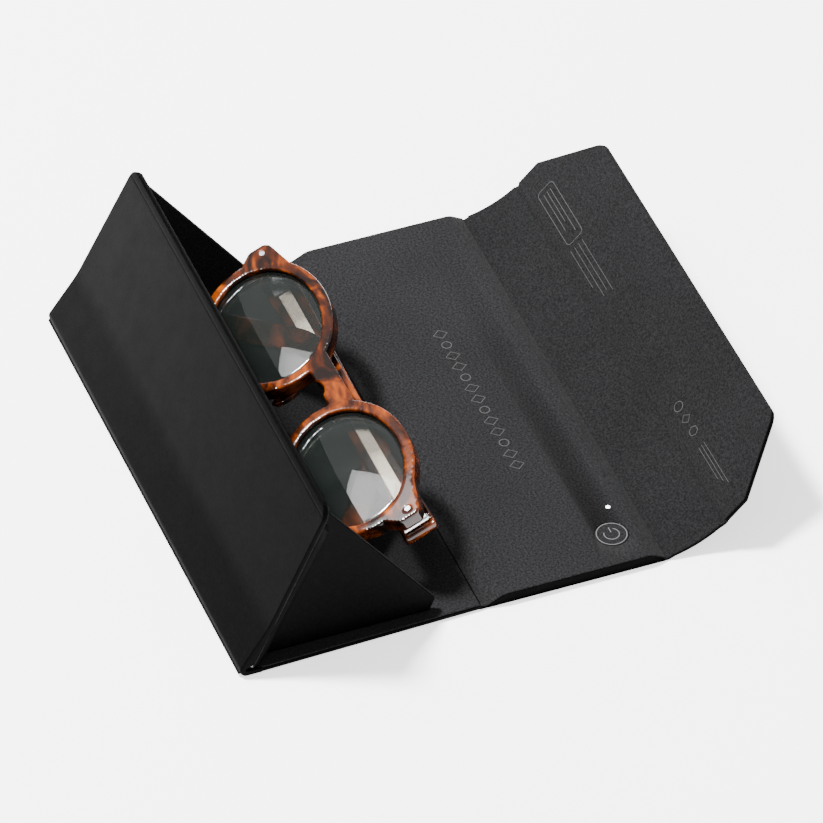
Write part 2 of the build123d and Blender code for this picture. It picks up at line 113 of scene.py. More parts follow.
# ------------------------------------------------------------------ materials
class Nodes:
    """Short calls for building one node material."""

    def __init__(self, name):
        self.material = bpy.data.materials.new(name)
        self.material.use_nodes = True
        self.tree = self.material.node_tree
        self.shader = self.tree.nodes["Principled BSDF"]
        self.coordinates = self.tree.nodes.new("ShaderNodeTexCoord").outputs["Object"]

    def put(self, **values):
        for key, value in values.items():
            self.shader.inputs[key.replace("_", " ")].default_value = value

    def link(self, a, b):
        self.tree.links.new(a, b)

    def stretch(self, x, y, z):
        mapping = self.tree.nodes.new("ShaderNodeMapping")
        mapping.inputs["Scale"].default_value = (x, y, z)
        self.link(self.coordinates, mapping.inputs["Vector"])
        return mapping.outputs["Vector"]

    def noise(self, scale, detail=2.0, roughness=0.5, distortion=0.0, vector=None):
        node = self.tree.nodes.new("ShaderNodeTexNoise")
        for key, value in (("Scale", scale), ("Detail", detail), ("Roughness", roughness),
                           ("Distortion", distortion)):
            node.inputs[key].default_value = value
        self.link(vector or self.coordinates, node.inputs["Vector"])
        return node.outputs["Fac"]

    def cells(self, scale):
        node = self.tree.nodes.new("ShaderNodeTexVoronoi")
        node.inputs["Scale"].default_value = scale
        self.link(self.coordinates, node.inputs["Vector"])
        return node.outputs["Distance"]

    def ramp(self, value, *stops):
        node = self.tree.nodes.new("ShaderNodeValToRGB")
        bar = node.color_ramp.elements
        while len(bar) < len(stops):
            bar.new(0.5)
        for element, (place, colour) in zip(bar, stops):
            element.position = place
            element.color = (*colour, 1)
        self.link(value, node.inputs["Fac"])
        return node.outputs["Color"]

    def mix(self, factor, a, b, blend="MIX"):
        node = self.tree.nodes.new("ShaderNodeMix")
        node.data_type = "RGBA"
        node.blend_type = blend
        for socket, value in ((node.inputs[0], factor), (node.inputs[6], a), (node.inputs[7], b)):
            if isinstance(value, bpy.types.NodeSocket):
                self.link(value, socket)
            else:
                socket.default_value = value
        return node.outputs[2]

    def bump(self, height, strength, distance, before=None):
        node = self.tree.nodes.new("ShaderNodeBump")
        node.inputs["Strength"].default_value = strength
        node.inputs["Distance"].default_value = distance
        self.link(height, node.inputs["Height"])
        if before:
            self.link(before, node.inputs["Normal"])
        return node.outputs["Normal"]

    def colour(self, socket):
        self.link(socket, self.shader.inputs["Base Color"])

    def normal(self, socket):
        self.link(socket, self.shader.inputs["Normal"])

    def rough(self, value, low, high):
        node = self.tree.nodes.new("ShaderNodeMapRange")
        node.inputs["To Min"].default_value = low
        node.inputs["To Max"].default_value = high
        self.link(value, node.inputs["Value"])
        self.link(node.outputs["Result"], self.shader.inputs["Roughness"])


def grey(value):
    """A neutral grey with a trace of blue."""
    return (value, value, value * 1.03)


def make_leather():
    """Black leather with a fine pebble grain over slow waves."""
    m = Nodes("black_leather")
    m.put(Specular_IOR_Level=0.014)
    m.colour(m.ramp(m.noise(900, detail=3), (0.35, grey(0.0006)), (0.7, grey(0.0013))))
    m.rough(m.noise(160, detail=2), 0.42, 0.54)
    grain = m.bump(m.cells(2600), strength=0.28, distance=0.00012)
    m.normal(m.bump(m.noise(45, detail=2), strength=0.25, distance=0.0006, before=grain))
    return m.material


def make_felt(name, dark, light):
    """Short felt: speckled fibres, faint clouds and a rough nap."""
    m = Nodes(name)
    m.put(Sheen_Weight=0.02, Sheen_Roughness=0.6, Specular_IOR_Level=0.03, Roughness=0.95)
    fibres = m.noise(1500, detail=3, roughness=0.65)
    speckle = m.ramp(fibres, (0.36, grey(dark)), (0.66, grey(light)))
    cloud = m.ramp(m.noise(28, detail=2), (0.3, grey(0.86)), (0.7, grey(1.06)))
    m.colour(m.mix(1.0, speckle, cloud, "MULTIPLY"))
    nap = m.bump(m.noise(2300, detail=3, roughness=0.7), strength=0.45, distance=0.00025)
    m.normal(m.bump(m.noise(60, detail=2), strength=0.15, distance=0.0006, before=nap))
    return m.material


def make_tortoise():
    """Polished acetate: amber patches in dark brown, drawn out along the front."""
    m = Nodes("tortoiseshell")
    m.put(Coat_Weight=0.3, Coat_Roughness=0.03, Specular_IOR_Level=0.25, Roughness=0.12)
    vector = m.stretch(0.62, 1.0, 1.25)
    patches = m.noise(105, detail=3, roughness=0.55, distortion=1.1, vector=vector)
    amber = m.ramp(
        patches, (0.38, (0.006, 0.002, 0.001)), (0.49, (0.046, 0.008, 0.001)),
        (0.60, (0.17, 0.031, 0.002)), (0.76, (0.31, 0.070, 0.005)),
    )
    streaks = m.ramp(
        m.noise(420, detail=2, roughness=0.5, distortion=0.5, vector=vector),
        (0.35, (0.62, 0.6, 0.58)), (0.65, (1, 1, 1)),
    )
    m.colour(m.mix(1.0, amber, streaks, "MULTIPLY"))
    m.normal(m.bump(m.noise(130, detail=1), strength=0.05, distance=0.0005))
    return m.material


def make_lens_glass():
    """Clear lens that turns less see-through at a glancing angle, where it reflects more."""
    m = Nodes("clear_lens")
    m.put(Roughness=0.03, IOR=1.6, Specular_IOR_Level=0.7)
    tint = m.noise(25, detail=1)
    m.colour(m.ramp(tint, (0.3, (0.006, 0.008, 0.007)), (0.7, (0.010, 0.013, 0.012))))
    facing = m.tree.nodes.new("ShaderNodeFresnel")
    facing.inputs["IOR"].default_value = 1.45
    spread = m.tree.nodes.new("ShaderNodeMapRange")
    spread.inputs["From Max"].default_value = 0.5
    spread.inputs["To Min"].default_value = 0.30
    spread.inputs["To Max"].default_value = 0.8
    m.link(facing.outputs["Fac"], spread.inputs["Value"])
    m.link(spread.outputs["Result"], m.shader.inputs["Alpha"])
    return m.material


def make_metal(name, dark, light, roughness):
    m = Nodes(name)
    m.put(Metallic=1.0)
    m.colour(m.ramp(m.noise(900, detail=3), (0.3, dark), (0.7, light)))
    m.rough(m.noise(2400, detail=2), roughness, roughness + 0.14)
    m.normal(m.bump(m.noise(3000, detail=2), strength=0.1, distance=0.0001))
    return m.material


def make_plastic(name, dark, light, roughness):
    m = Nodes(name)
    m.colour(m.ramp(m.noise(600, detail=3), (0.3, dark), (0.7, light)))
    m.rough(m.noise(1500, detail=2), roughness, roughness + 0.15)
    m.normal(m.bump(m.noise(3500, detail=2), strength=0.15, distance=0.0001))
    return m.material


def make_light():
    """Lit white diffuser of the LED."""
    m = Nodes("white_light")
    m.put(Emission_Strength=5.0, Emission_Color=(1, 1, 1, 1), Roughness=0.3)
    m.colour(m.ramp(m.noise(900, detail=1), (0.3, (0.9, 0.9, 0.92)), (0.7, (1, 1, 1))))
    return m.material


make_camera()
leather = make_leather()
felt = make_felt("charcoal_felt", 0.0048, 0.0165)
# painted shade: the same lining felt as the lid's, made darker for the spine and flap to stand for the shade of
# their tilt
shade_painted_felt = make_felt("shade_painted_felt", 0.0036, 0.0118)
tortoise = make_tortoise()
glass = make_lens_glass()
steel = make_metal("bright_steel", (0.55, 0.55, 0.56), (0.75, 0.75, 0.76), 0.16)
satin_core = make_metal("satin_core", (0.60, 0.53, 0.42), (0.78, 0.72, 0.60), 0.32)
copper = make_metal("copper", (0.62, 0.30, 0.16), (0.78, 0.42, 0.25), 0.25)
foil = make_metal("foil", (0.6, 0.6, 0.62), (0.75, 0.75, 0.77), 0.35)
black_plastic = make_plastic("black_plastic", grey(0.012), grey(0.022), 0.5)
laminate = make_plastic("green_laminate", (0.01, 0.09, 0.035), (0.02, 0.14, 0.05), 0.35)
ferrite = make_plastic("ferrite", grey(0.03), grey(0.05), 0.6)
grey_board = make_plastic("grey_board", (0.16, 0.15, 0.14), (0.24, 0.23, 0.21), 0.8)
print_grey = make_plastic("print_grey", grey(0.05), grey(0.08), 0.7)
faint_print = make_plastic("faint_print", grey(0.020), grey(0.034), 0.8)
white_light = make_light()


# ------------------------------------------------------------------ mesh helpers
EDGE_STEPS = 4                  # faces round a soft edge


def make(name, points, faces, material, body, nodes=(), smooth=True):
    mesh = bpy.data.meshes.new(name)
    mesh.from_pydata([tuple(Vector(p) * MM) for p in points], [], faces)
    mesh.materials.append(material)
    obj = bpy.data.objects.new(name, mesh)
    bpy.context.scene.collection.objects.link(obj)
    work = bmesh.new()
    work.from_mesh(mesh)
    bmesh.ops.recalc_face_normals(work, faces=work.faces)
    for face in work.faces:
        face.smooth = smooth
    work.to_mesh(mesh)
    work.free()
    if isinstance(body, str):
        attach(obj, body)
    if nodes:
        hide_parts(*nodes)
    return obj


def skin_rings(rings):
    """Closed mesh through rings that all have the same number of points."""
    count = len(rings[0])
    points = [p for ring in rings for p in ring]
    faces = []
    for k in range(len(rings) - 1):
        for i in range(count):
            j = (i + 1) % count
            faces.append((k * count + i, k * count + j, (k + 1) * count + j, (k + 1) * count + i))
    faces.append(tuple(range(count)))
    faces.append(tuple(range((len(rings) - 1) * count, len(rings) * count)))
    return points, faces


def rounded_corners(corners, radii, steps=7):
    """Open or closed path whose inner corners are arcs; corners with radius 0 stay."""
    path = []
    for i, corner in enumerate(corners):
        corner, radius = Vector(corner), radii[i]
        if not radius:
            path.append(corner)
            continue
        before = (Vector(corners[i - 1]) - corner).normalized()
        after = (Vector(corners[(i + 1) % len(corners)]) - corner).normalized()
        half = before.angle(after) / 2
        centre = corner + (before + after).normalized() * (radius / sin(half))
        first = corner + before * (radius / tan(half)) - centre
        last = corner + after * (radius / tan(half)) - centre
        for step in range(steps + 1):
            spot = first.lerp(last, step / steps)
            path.append(centre + spot.normalized() * radius)
    return path


def spaced(path, gap):
    """The same path with points no further apart than gap."""
    out = [path[0]]
    for a, b in zip(path, path[1:]):
        pieces = max(1, int((b - a).length / gap + 0.999))
        out += [a.lerp(b, k / pieces) for k in range(1, pieces + 1)]
    return out


def value_at(item, distance):
    return item(distance) if callable(item) else item


def path_stations(path, edge):
    """Rows of point, tangent, distance run and inset along a path, eased in at both ends."""
    stations, run = [], 0.0
    for i, point in enumerate(path):
        ahead = path[min(i + 1, len(path) - 1)] - path[max(i - 1, 0)]
        tangent = ahead.normalized()
        run += (point - path[i - 1]).length if i else 0
        stations.append([point, tangent, run, 0.0])
    ends = []
    for index, way in ((0, 1), (-1, -1)):
        point, tangent, run, _ = stations[index]
        curve = []
        for step in range(EDGE_STEPS):
            turn = step / EDGE_STEPS * pi / 2
            along = edge * (1 - cos(turn)) * way
            curve.append([point + tangent * along, tangent, run + along, edge * (1 - sin(turn))])
        curve.append([point + tangent * edge * way, tangent, run + edge * way, 0.0])
        ends.append(curve)
    return ends[0] + stations[1:-1] + ends[1][::-1]


def ribbon(name, path, half, low, high, material, body, nodes=(), edge=0.25):
    """Soft-edged panel that follows a path of (y, z) points, between two heights over it."""
    least_round, least_flat = 0.02, 0.01

    def ring(point, tangent, run, inset):
        normal = Vector((-tangent.y, tangent.x))
        wide = value_at(half, run) - inset
        bottom = value_at(low, run) + inset
        top = value_at(high, run) - inset
        soft = max(least_round, min(edge - inset, (top - bottom) / 2 - least_flat))
        outline = []
        corners = ((wide, top, 0), (-wide, top, 90), (-wide, bottom, 180), (wide, bottom, 270))
        for cx, cz, start in corners:
            cx -= soft if cx > 0 else -soft
            cz += -soft if cz == top else soft
            for step in range(EDGE_STEPS + 1):
                turn = radians(start + 90 * step / EDGE_STEPS)
                outline.append((cx + soft * cos(turn), cz + soft * sin(turn)))
        return [(x, *(point + normal * h)) for x, h in outline]

    stations = path_stations([Vector(p) for p in path], edge)
    return make(name, *skin_rings([ring(*s) for s in stations]), material, body, nodes)


def slab(name, corners, radii, place, low, high, edge, material, body, nodes=()):
    """Soft-edged flat panel: a convex outline, anticlockwise, carried by place(u, v, height)."""
    least_radius, cap_inset = 0.05, 0.3

    def inset_outline(amount):
        count = len(corners)
        moved = []
        for i in range(count):
            a, b, c = (Vector(corners[(i + k) % count]) for k in (-1, 0, 1))
            before, after = (b - a).normalized(), (c - b).normalized()
            normal = Vector((-before.y, before.x))
            turn = before.angle_signed(after)
            moved.append(b + (normal + before * tan(turn / 2)) * amount)
        return rounded_corners(moved, [max(r - amount, least_radius) for r in radii])

    steps = [k / EDGE_STEPS * pi / 2 for k in range(EDGE_STEPS + 1)]
    rings = [(edge * (1 - sin(t)), low + edge * (1 - cos(t))) for t in steps]
    rings += [(edge * (1 - sin(t)), high - edge * (1 - cos(t))) for t in reversed(steps)]
    rings = [(edge + cap_inset, low)] + rings + [(edge + cap_inset, high)]
    shapes = [[place(p.x, p.y, h) for p in inset_outline(inset)] for inset, h in rings]
    return make(name, *skin_rings(shapes), material, body, nodes)


def strokes(name, lines, width, place, material, body, height=0.05):
    """Printed lines: each is a list of (u, v) points, closed if it ends where it starts."""
    points, faces = [], []
    for line in lines:
        line = [Vector(p) for p in line]
        closed = (line[0] - line[-1]).length < 1e-6
        if closed:
            line = line[:-1]
        count, first = len(line), len(points)
        for i, p in enumerate(line):
            a = line[i - 1] if closed or i else p
            b = line[(i + 1) % count] if closed or i < count - 1 else p
            along = (b - a).normalized()
            side = Vector((-along.y, along.x)) * width / 2
            for way, h in ((1, -height), (1, height), (-1, height), (-1, -height)):
                q = p + side * way
                points.append(place(q.x, q.y, h))
        for i in range(count if closed else count - 1):
            a, b = first + 4 * i, first + 4 * ((i + 1) % count)
            faces += [(a + k, b + k, b + (k + 1) % 4, a + (k + 1) % 4) for k in range(4)]
        if not closed:
            last = first + 4 * (count - 1)
            faces.append((first, first + 1, first + 2, first + 3))
            faces.append((last + 3, last + 2, last + 1, last))
    return make(name, points, faces, material, body, smooth=False)


def arc(u, v, radius, start=0, end=360, steps=36):
    """Points of a circle or arc, or of a regular shape when there are few steps."""
    return [
        (u + radius * cos(radians(start + (end - start) * k / steps)),
         v + radius * sin(radians(start + (end - start) * k / steps)))
        for k in range(steps + 1)
    ]


def rising(y, z, angle):
    """Carries (x, distance up the panel, height over it) to a point of the row frame."""
    def place(u, v, h):
        return (u, y + v * cos(angle) - h * sin(angle), z + v * sin(angle) + h * cos(angle))
    return place


# ------------------------------------------------------------------ base
def base_half(distance):
    """Half length of the base: it narrows from the wall's foot to the lid."""
    taper = (foot_half - half_length) / (base_high.y - strip_low.y)
    return foot_half - taper * distance


def make_base():
    felt_start, felt_gap, step = 4.2, 1.3, 4
    end = base_high.y
    leather_path = spaced([Vector((strip_low.y, 0)), Vector((end, 0))], step)
    ribbon("base_leather", leather_path, base_half, 0.0, 1.62, leather, "base", ["base_skin"],
           edge=0.55)
    felt_path = spaced([Vector((strip_low.y + felt_start, 0)), Vector((end - felt_gap, 0))], step)
    ribbon("base_felt", felt_path, lambda d: base_half(d + felt_start) - 0.25, 1.5, 2.02,
           felt, "base", ["base_lining"], edge=0.22)


# ------------------------------------------------------------------ wall
def corner_cut(rest, corner):
    """How far a soft corner of this radius draws the end in, this far below the top edge."""
    return corner - sqrt(max(0, corner ** 2 - (corner - rest) ** 2))


def wall_half(distance):
    """Half length of the wall at a distance up from its foot."""
    wide = foot_half - (foot_half - wall_top_half) * distance / wall_reach
    rest = wall_reach - distance
    corner = 4.5
    return wide - corner_cut(rest, corner) if rest < corner else wide


def wall_outer(distance):
    """Height of the wall's outer face: a groove, then a raised rim along the top edge."""
    rest = wall_reach - distance
    if rest < 2.5:
        return 0.16
    return -0.12 if rest < 3.0 else 0.0


def up_wall(distances):
    return [(wall_foot_y + d * cos(wall_angle), d * sin(wall_angle)) for d in distances]


def make_wall():
    """Leather that starts under the base, rolls round the fold and runs up the wall."""
    roll_radius, swell_radius, gap = 2.4, 40.0, 2.5
    near_top = (4.5, 4.0, 3.5, 3.05, 2.75, 2.45, 2.2, 1.8, 1.4, 1.0, 0.7, 0.45, 0.25, 0.1, 0)
    upper = [wall_reach - d for d in near_top]
    roll = [(strip_low.y + 6.0, 0.0), (wall_foot_y - 3.2, 0.0)] + up_wall([19.0, 30.0])
    lower = spaced(rounded_corners(roll, [0, roll_radius, swell_radius, 0], 12), gap)
    path = lower + up_wall([32.5 + gap * k for k in range(11)] + upper)
    path = [Vector(p) for p in path]
    length = sum((b - a).length for a, b in zip(path, path[1:]))
    under = length - wall_reach

    def inner(d):
        up = d - under
        return -panel_thickness if up < 3 else -1.62 - 2.5 * max(0, 1 - up / 22)

    ribbon("wall_leather", path, lambda d: wall_half(max(0, d - under)), inner,
           lambda d: wall_outer(d - under), leather, "base", ["wall_skin", "wall_hinge"], edge=0.5)
    make_wall_fold_core()
    heights = [d for d in [3.2 + gap * k for k in range(22)] + upper if d < wall_reach - 0.3]
    foot = heights[0]
    ribbon("wall_felt", up_wall(heights), lambda d: wall_half(d + foot) - 0.35, -2.02, -1.5,
           felt, "base", ["wall_lining"], edge=0.22)


def make_wall_fold_core():
    """Fills the roll between the base and the wall, so that no light passes through it."""
    low, shelf, top, end_gap = 1.0, 3.0, 11.0, 0.9
    outline = [(wall_foot_y - 1.5, low), (wall_foot_y + 5.0, low), (wall_foot_y + 5.0, shelf),
               (wall_foot_y + 7.0, top), (wall_foot_y + 4.2, top)]
    ends = [[(x, y, z) for y, z in outline] for x in (foot_half - end_gap, end_gap - foot_half)]
    make("wall_fold_core", *skin_rings(ends), leather, "base", smooth=False)


def wall_inner_y(z):
    return wall_foot_y + panel_thickness / sin(wall_angle) + z / tan(wall_angle)


def make_gusset(side, name):
    """Triangular end panel: leather outside, felt inside, and the soft strip to the wall."""
    x_in, x_out = gusset_low.x, gusset_high.x
    corners = [(wall_inner_y(2.3) + 0.4, 2.0), (strip_low.y + 60.9, 2.0), (strip_low.y + 62.8, 6.5),
               (wall_inner_y(54), 54.0)]
    radii = [0.5, 1.2, 1.2, 0.8]
    place = (lambda u, v, h: (h, u, v)) if side > 0 else (lambda u, v, h: (-h, u, v))
    slab(f"{name}_gusset_leather", corners, radii, place, x_in + 0.55, x_out + 0.1, 0.3,
         leather, "base", [f"{name}_gusset_panel"])
    slab(f"{name}_gusset_felt", corners, radii, place, x_in, x_in + 0.6, 0.2, felt, "base")
    make_gusset_fold(side, name, x_out)


def make_gusset_fold(side, name, x_out):
    """Soft leather that bulges between the gusset and the wall, and is pinched at the top."""
    low, rise, rows, turns = 3.2, 47.0, 28, 8
    end_gap, bulge, thickness = 0.9, 4.6, 0.6
    pinch_top, pinch_length = 52.0, 6
    rings = []
    for k in range(rows + 1):
        z = low + k * rise / rows
        end_x = wall_half(z / sin(wall_angle)) - end_gap
        pinch = min(1, (pinch_top - z) / pinch_length)
        outer = [(radians(90 * s / turns), 0.0) for s in range(turns + 1)]
        inner = [(turn, -thickness) for turn, _ in reversed(outer)]
        ring = []
        for turn, layer in outer + inner:
            x = x_out + (end_x - x_out + layer) * cos(turn)
            depth = (bulge * pinch + layer) * sin(turn)
            ring.append((side * x, wall_inner_y(z) + depth, z))
        rings.append(ring)
    make(f"{name}_gusset_fold", *skin_rings(rings), leather, "base", [f"{name}_gusset_hinge"])


# ------------------------------------------------------------------ lid
def lid_path():
    """Cross-section of the lid's top, which rises softly from both of its folds."""
    edge_z, shoulder, gap = 1.4, 5.0, 3
    corners = [(lid_y + 1.0, edge_z), (lid_y + 5.9, lid_height), (lid_y + 53.9, lid_height),
               (spine_y - 1.0, edge_z)]
    return spaced(rounded_corners(corners, [0, shoulder, shoulder, 0]), gap)


def middle_of(low, high):
    return (low.x + high.x) / 2, (low.y + high.y) / 2


def make_lid():
    """Felt over the electronics tray, with a hole for the key, and the leather shell below."""
    hole_radius, hole_depth = 5.38, 1.2
    top = lid_path()
    cloth = ribbon("lid_felt", top, half_length - felt_shortfall, -0.5, 0.02, felt, "lid",
                   ["lid_lining"], edge=0.2)
    cutter = rounded_disc("key_hole", middle_of(key_low, key_high), hole_radius,
                          lid_height - hole_depth, lid_height + hole_depth, felt, None)
    cut(cloth, cutter)
    cover = 0.42                # the leather's top lies this far under the felt's
    rings = []
    for inset in (0.45, 0.18, 0.03, 0.0):
        rings.append([(half_length - inset, y, z - cover - inset * 0.5) for y, z in top]
                     + [(half_length - inset, y, inset * 0.8) for y, _ in reversed(top)])
    rings = rings + [[(-x, y, z) for x, y, z in ring] for ring in reversed(rings)]
    make("lid_leather", *skin_rings(rings), leather, "lid", ["lid_skin"])


def cut(piece, cutter):
    """Takes the cutter's solid out of the piece, and the cutter out of the scene."""
    modifier = piece.modifiers.new("cut", "BOOLEAN")
    modifier.operation = "DIFFERENCE"
    modifier.solver = "EXACT"
    modifier.object = cutter
    graph = bpy.context.evaluated_depsgraph_get()
    mesh = bpy.data.meshes.new_from_object(piece.evaluated_get(graph))
    piece.modifiers.clear()
    piece.data = mesh
    mesh.name = piece.name
    bpy.data.objects.remove(cutter)


def on_lid(u, v, h):
    """Carries a printed point to just over the lid's felt."""
    return (u, v, lid_height + 0.03 + h)


def make_lid_prints():
    make_ornament()
    make_key()
    lamp = rounded_disc("led_dome", middle_of(pipe_low, pipe_high), 0.75, lid_height - 1.5,
                        lid_height + 0.12, white_light, "lid")
    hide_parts("light_pipe")


def make_ornament():
    """A plain row of circles and diamonds along the lid's middle."""
    middle = (lid_y + spine_y) / 2 + 1.0
    first_x, pitch, half_x, half_y, radius = -31.5, 5.25, 1.9, 2.3, 1.5
    motif = []
    for k in range(13):
        x = first_x + pitch * k
        if k % 3 == 1:
            motif.append(arc(x, middle, radius, steps=24))
        else:
            motif.append([(x - half_x, middle), (x, middle + half_y), (x + half_x, middle),
                          (x, middle - half_y), (x - half_x, middle)])
    strokes("lid_ornament", motif, 0.3, on_lid, faint_print, "lid")


def make_key():
    """Felt-topped key with a ring and a plain power symbol on it."""
    x, y = middle_of(key_low, key_high)
    dial = rounded_disc("key_felt", (x, y), 5.2, lid_height - 1.0, lid_height + 0.02, felt, "key")
    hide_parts("power_button")
    symbol = [arc(x, y, 4.65), arc(x, y, 2.35, -120, 150, 30)]
    symbol.append([(x - 2.9, y + 0.1), (x - 0.7, y + 0.1)])
    strokes("key_symbol", symbol, 0.3, on_lid, print_grey, "key")


def rounded_disc(name, centre, radius, low, high, material, body):
    """Disc with a soft upper edge."""
    sides, edge_steps = 40, 5
    soft = min(0.25, radius / 3)
    turns = [k / edge_steps * pi / 2 for k in range(edge_steps + 1)]
    profile = [(radius, low)]
    profile += [(radius - soft * (1 - cos(t)), high - soft * (1 - sin(t))) for t in turns]
    rings = []
    for r, z in profile:
        spots = [2 * pi * k / sides for k in range(sides)]
        rings.append([(centre[0] + r * cos(a), centre[1] + r * sin(a), z) for a in spots])
    return make(name, *skin_rings(rings), material, body)


# ------------------------------------------------------------------ spine and flap
def spine_path():
    """The spine sags a little between its folds, so that the cover rises in one soft curve."""
    sag, end_gap, pieces = 1.3, 0.9, 12
    path = []
    for k in range(pieces + 1):
        t = end_gap + (spine_width - 2 * end_gap) * k / pieces
        drop = 4 * sag * (t / spine_width) * (1 - t / spine_width)
        y = spine_y + t * cos(spine_angle) + drop * sin(spine_angle)
        z = spine_z + t * sin(spine_angle) - drop * cos(spine_angle)
        path.append((y, z))
    return path


def flap_half_at(distance):
    """Half length of the flap: full beside the fold, then chamfered, with soft outer corners."""
    full, narrow, straight = half_length, half_length - 15.9, 10.0
    if distance < straight:
        return full
    slope = (full - narrow) / (flap_width - straight)
    wide = full - slope * (distance - straight)
    rest = flap_width - distance
    corner = 2.6
    return wide - 0.75 * corner_cut(rest, corner) if rest < corner else wide


def make_spine():
    path = spine_path()
    ribbon("spine_leather", path, half_length, -0.7, 0.35, leather, "spine", ["spine_skin"],
           edge=0.4)
    ribbon("spine_card", path[1:-1], half_length - 2.0, -0.35, 0.2, grey_board, "spine",
           ["spine_board"], edge=0.1)
    # the spine's felt carries painted shade: a darker copy of the lining felt
    ribbon("spine_felt", path, half_length - felt_shortfall, 0.2, 0.72, shade_painted_felt, "spine",
           ["spine_lining"], edge=0.2)


def make_flap():
    start = 0.9                 # where the flap's leather begins, past the fold's axis
    reaches = [start, 2.5, 5, 7.5, 9, 10, 11, 13, 16, 19, 22, 25, 28]
    reaches += [flap_width - d for d in (2.6, 2.0, 1.4, 0.9, 0.5, 0.2, 0)]
    path = [(flap_y + d * cos(flap_angle), flap_z + d * sin(flap_angle)) for d in reaches]
    ribbon("flap_leather", path, lambda d: flap_half_at(d + start), -0.9, 0.5, leather, "flap",
           ["flap_skin"], edge=0.5)
    # the flap's felt carries painted shade: a darker copy of the lining felt
    ribbon("flap_felt", path, lambda d: flap_half_at(d + start) - 0.3, 0.4, 0.92, shade_painted_felt, "flap",
           ["flap_lining"], edge=0.2)


def make_flap_prints():
    """Plain shapes and hairlines where a case of this kind carries its small print."""
    place = rising(flap_y, flap_z, flap_angle)
    felt_top = 0.93

    def on_flap(u, v, h):
        return place(u, v, felt_top + h)

    left, right, bottom, top = -72, -46.3, 4.2, 11.2
    corners = [(left, bottom), (right, bottom), (right, top), (left, top)]
    plate = rounded_corners(corners, [1.5] * 4, 5)
    plate.append(plate[0])
    lines = [plate]
    lines += [[(-70, v), (-70 + reach, v)] for v, reach in ((9.2, 21), (7.7, 15), (6.2, 18))]
    strokes("flap_plate", lines, 0.2, on_flap, faint_print, "flap")
    beside_plate = ((9.4, 25), (7.6, 23), (5.8, 24), (4.0, 18))
    hairs = [[(-44, v), (-44 + reach, v)] for v, reach in beside_plate]
    hairs += [[(54, v), (54 + reach, v)] for v, reach in ((8.6, 19), (7.4, 17), (6.2, 15))]
    strokes("flap_hairlines", hairs, 0.16, on_flap, faint_print, "flap", 0.04)
    marks = [arc(u, 7.6, 1.7, steps=sides) for u, sides in ((36, 36), (41.8, 4), (47.6, 6))]
    strokes("flap_marks", marks, 0.22, on_flap, faint_print, "flap")


def fold_strip(name, path, low, high, cloth, half):
    """A strip across a living hinge; it stays where it is built and does not bend."""
    step, reach = 0.4, 1.1
    points = spaced([Vector(p) for p in path], step)
    piece = ribbon(name, points, half, low, high, cloth, None, edge=0.12)
    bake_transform(piece)


def make_fold(name, inner, outer, cloth):
    """Felt above and leather below one living hinge; each path runs across it."""
    fold_strip(f"{name}_fold_felt", inner, -0.45, 0.05, cloth, half_length - 0.2)
    fold_strip(f"{name}_fold_leather", outer, -0.42, 0.1, leather, half_length)


def make_folds():
    make_fold(
        "lid",
        [(lid_y - 3.4, 1.72), (lid_y - 1.5, 1.55), (lid_y, 1.15), (lid_y + 1.3, 1.42),
         (lid_y + 2.0, 1.72)],
        [(lid_y - 1.8, 0.45), (lid_y, 0.45), (lid_y + 1.6, 0.45)], felt,
    )
    first, last = Vector(spine_path()[0]), Vector(spine_path()[-1])
    make_fold(
        "spine",
        [(spine_y - 1.3, 1.05), (spine_y - 0.5, 0.75), first + Vector((-0.1, 0.2)),
         first + Vector((0.8, 0.6))],
        [(spine_y - 1.6, 0.45), (spine_y, 0.42), first + Vector((0.8, -0.02))], shade_painted_felt,
    )
    flap_start = Vector((flap_y, flap_z)) + Vector((cos(flap_angle), sin(flap_angle))) * 1.3
    make_fold(
        "flap",
        [last + Vector((-1.0, -0.1)), (flap_y - 0.1, flap_z), flap_start + Vector((-0.2, 0.25))],
        [last + Vector((-0.7, -0.7)), (flap_y + 0.2, flap_z - 0.45),
         flap_start + Vector((0.3, -0.35))],
        shade_painted_felt,
    )


# ------------------------------------------------------------------ glasses
def soften(node, name, voxel, passes, material, body):
    """Rounded, polished copy of a CAD solid: remeshed and smoothed, so that its edges are soft."""
    copy = frame["nodes"][node].copy()
    copy.data = frame["nodes"][node].data.copy()
    for key in list(copy.keys()):
        del copy[key]
    copy.parent = None
    copy.name = name
    copy.data.name = name
    bpy.context.scene.collection.objects.link(copy)
    remesh = copy.modifiers.new("remesh", "REMESH")
    remesh.mode = "VOXEL"
    remesh.voxel_size = voxel * MM
    smooth = copy.modifiers.new("smooth", "SMOOTH")
    smooth.factor = 0.5
    smooth.iterations = passes
    graph = bpy.context.evaluated_depsgraph_get()
    mesh = bpy.data.meshes.new_from_object(copy.evaluated_get(graph))
    copy.modifiers.clear()
    copy.data = mesh
    mesh.name = name
    mesh.materials.clear()
    mesh.materials.append(material)
    for polygon in mesh.polygons:
        polygon.use_smooth = True
    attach(copy, body)
    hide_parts(node)
    return copy


def make_lens(name, low, high):
    """Domed lens: rings of the panto outline from its edge to its centre."""
    centre = (low + high) / 2
    half_width, half_height, taper = 23.5, 18.7, 0.06
    shell_count, sides = 10, 48
    rings = []
    for face, edge_height, dome in ((1, 0.9, 1.5), (-1, -0.7, 1.2)):
        shells = []
        for k in range(1, shell_count + 1):
            share = k / shell_count
            height = edge_height + dome * (1 - share ** 2)
            ring = []
            for step in range(sides):
                turn = 2 * pi * step / sides
                wide = half_width * cos(turn) * (1 + taper * sin(turn)) * share
                tall = half_height * sin(turn) * share
                ring.append(centre + Vector((wide, 0, 0)) + front_up * tall + front_out * height)
            shells.append(ring)
        rings += shells if face > 0 else shells[::-1]
    make(f"{name}_lens_glass", *skin_rings(rings), glass, "glasses", [f"{name}_lens"])


